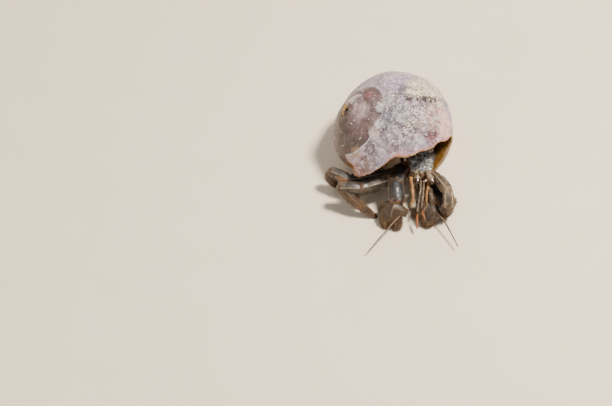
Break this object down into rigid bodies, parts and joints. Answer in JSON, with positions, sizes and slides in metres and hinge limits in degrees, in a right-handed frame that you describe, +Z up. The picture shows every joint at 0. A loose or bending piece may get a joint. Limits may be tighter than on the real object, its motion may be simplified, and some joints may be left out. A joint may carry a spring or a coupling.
{
  "type": "hermit crab",
  "caption": "Land hermit crab walking in a worn round snail shell, claws in front and legs spread, with stalked eyes and long feelers.",
  "frame": {"origin": "on the floor under the middle of the animal's length and width", "axes": "+Z up, the crab walks towards -Y, its right side towards -X"},
  "size_m": [0.0398, 0.0572, 0.0304],
  "materials": {
    "shell": "worn matt to satin mollusc shell, lilac grey with pale patches and an orange-tan lip",
    "shield": "wet chitin, grey with pale blue speckles",
    "eye": "glossy dark red-brown cornea",
    "feeler": "satin tan to orange chitin",
    "limb": "wet chitin, olive grey to blue-grey with pale ridges and orange joints",
    "body": "soft, moist skin"
  },
  "bodies": {
    "root": {"shell": "shell", "head_shield": "shield", "eye_right": "eye", "eyestalk_right": "feeler", "antenna_base_right": "feeler", "antenna_right": "feeler", "antennule_right": "feeler", "antennule_tip_right": "feeler", "eye_left": "eye", "eyestalk_left": "feeler", "antenna_base_left": "feeler", "antenna_left": "feeler", "antennule_left": "feeler", "antennule_tip_left": "feeler", "leg2_right_ischium": "limb", "leg2_right_merus": "limb", "leg2_right_carpus": "limb", "leg2_right_propodus": "limb", "leg2_right_dactylus": "limb", "leg3_right_ischium": "limb", "leg3_right_merus": "limb", "leg3_right_carpus": "limb", "leg3_right_propodus": "limb", "leg3_right_dactylus": "limb", "leg2_left_ischium": "limb", "leg2_left_merus": "limb", "leg2_left_carpus": "limb", "leg2_left_propodus": "limb", "leg2_left_dactylus": "limb", "leg3_left_ischium": "limb", "leg3_left_merus": "limb", "leg3_left_carpus": "limb", "leg3_left_propodus": "limb", "leg3_left_dactylus": "limb", "claw_right_merus": "limb", "claw_right_carpus": "limb", "claw_right_palm": "limb", "claw_right_finger": "limb", "claw_left_merus": "limb", "claw_left_carpus": "limb", "claw_left_palm": "limb", "claw_left_finger": "limb", "maxilliped_right": "limb", "leg4_right": "limb", "maxilliped_left": "limb", "leg4_left": "limb", "thorax": "body", "abdomen": "body"}
  },
  "joints": []
}
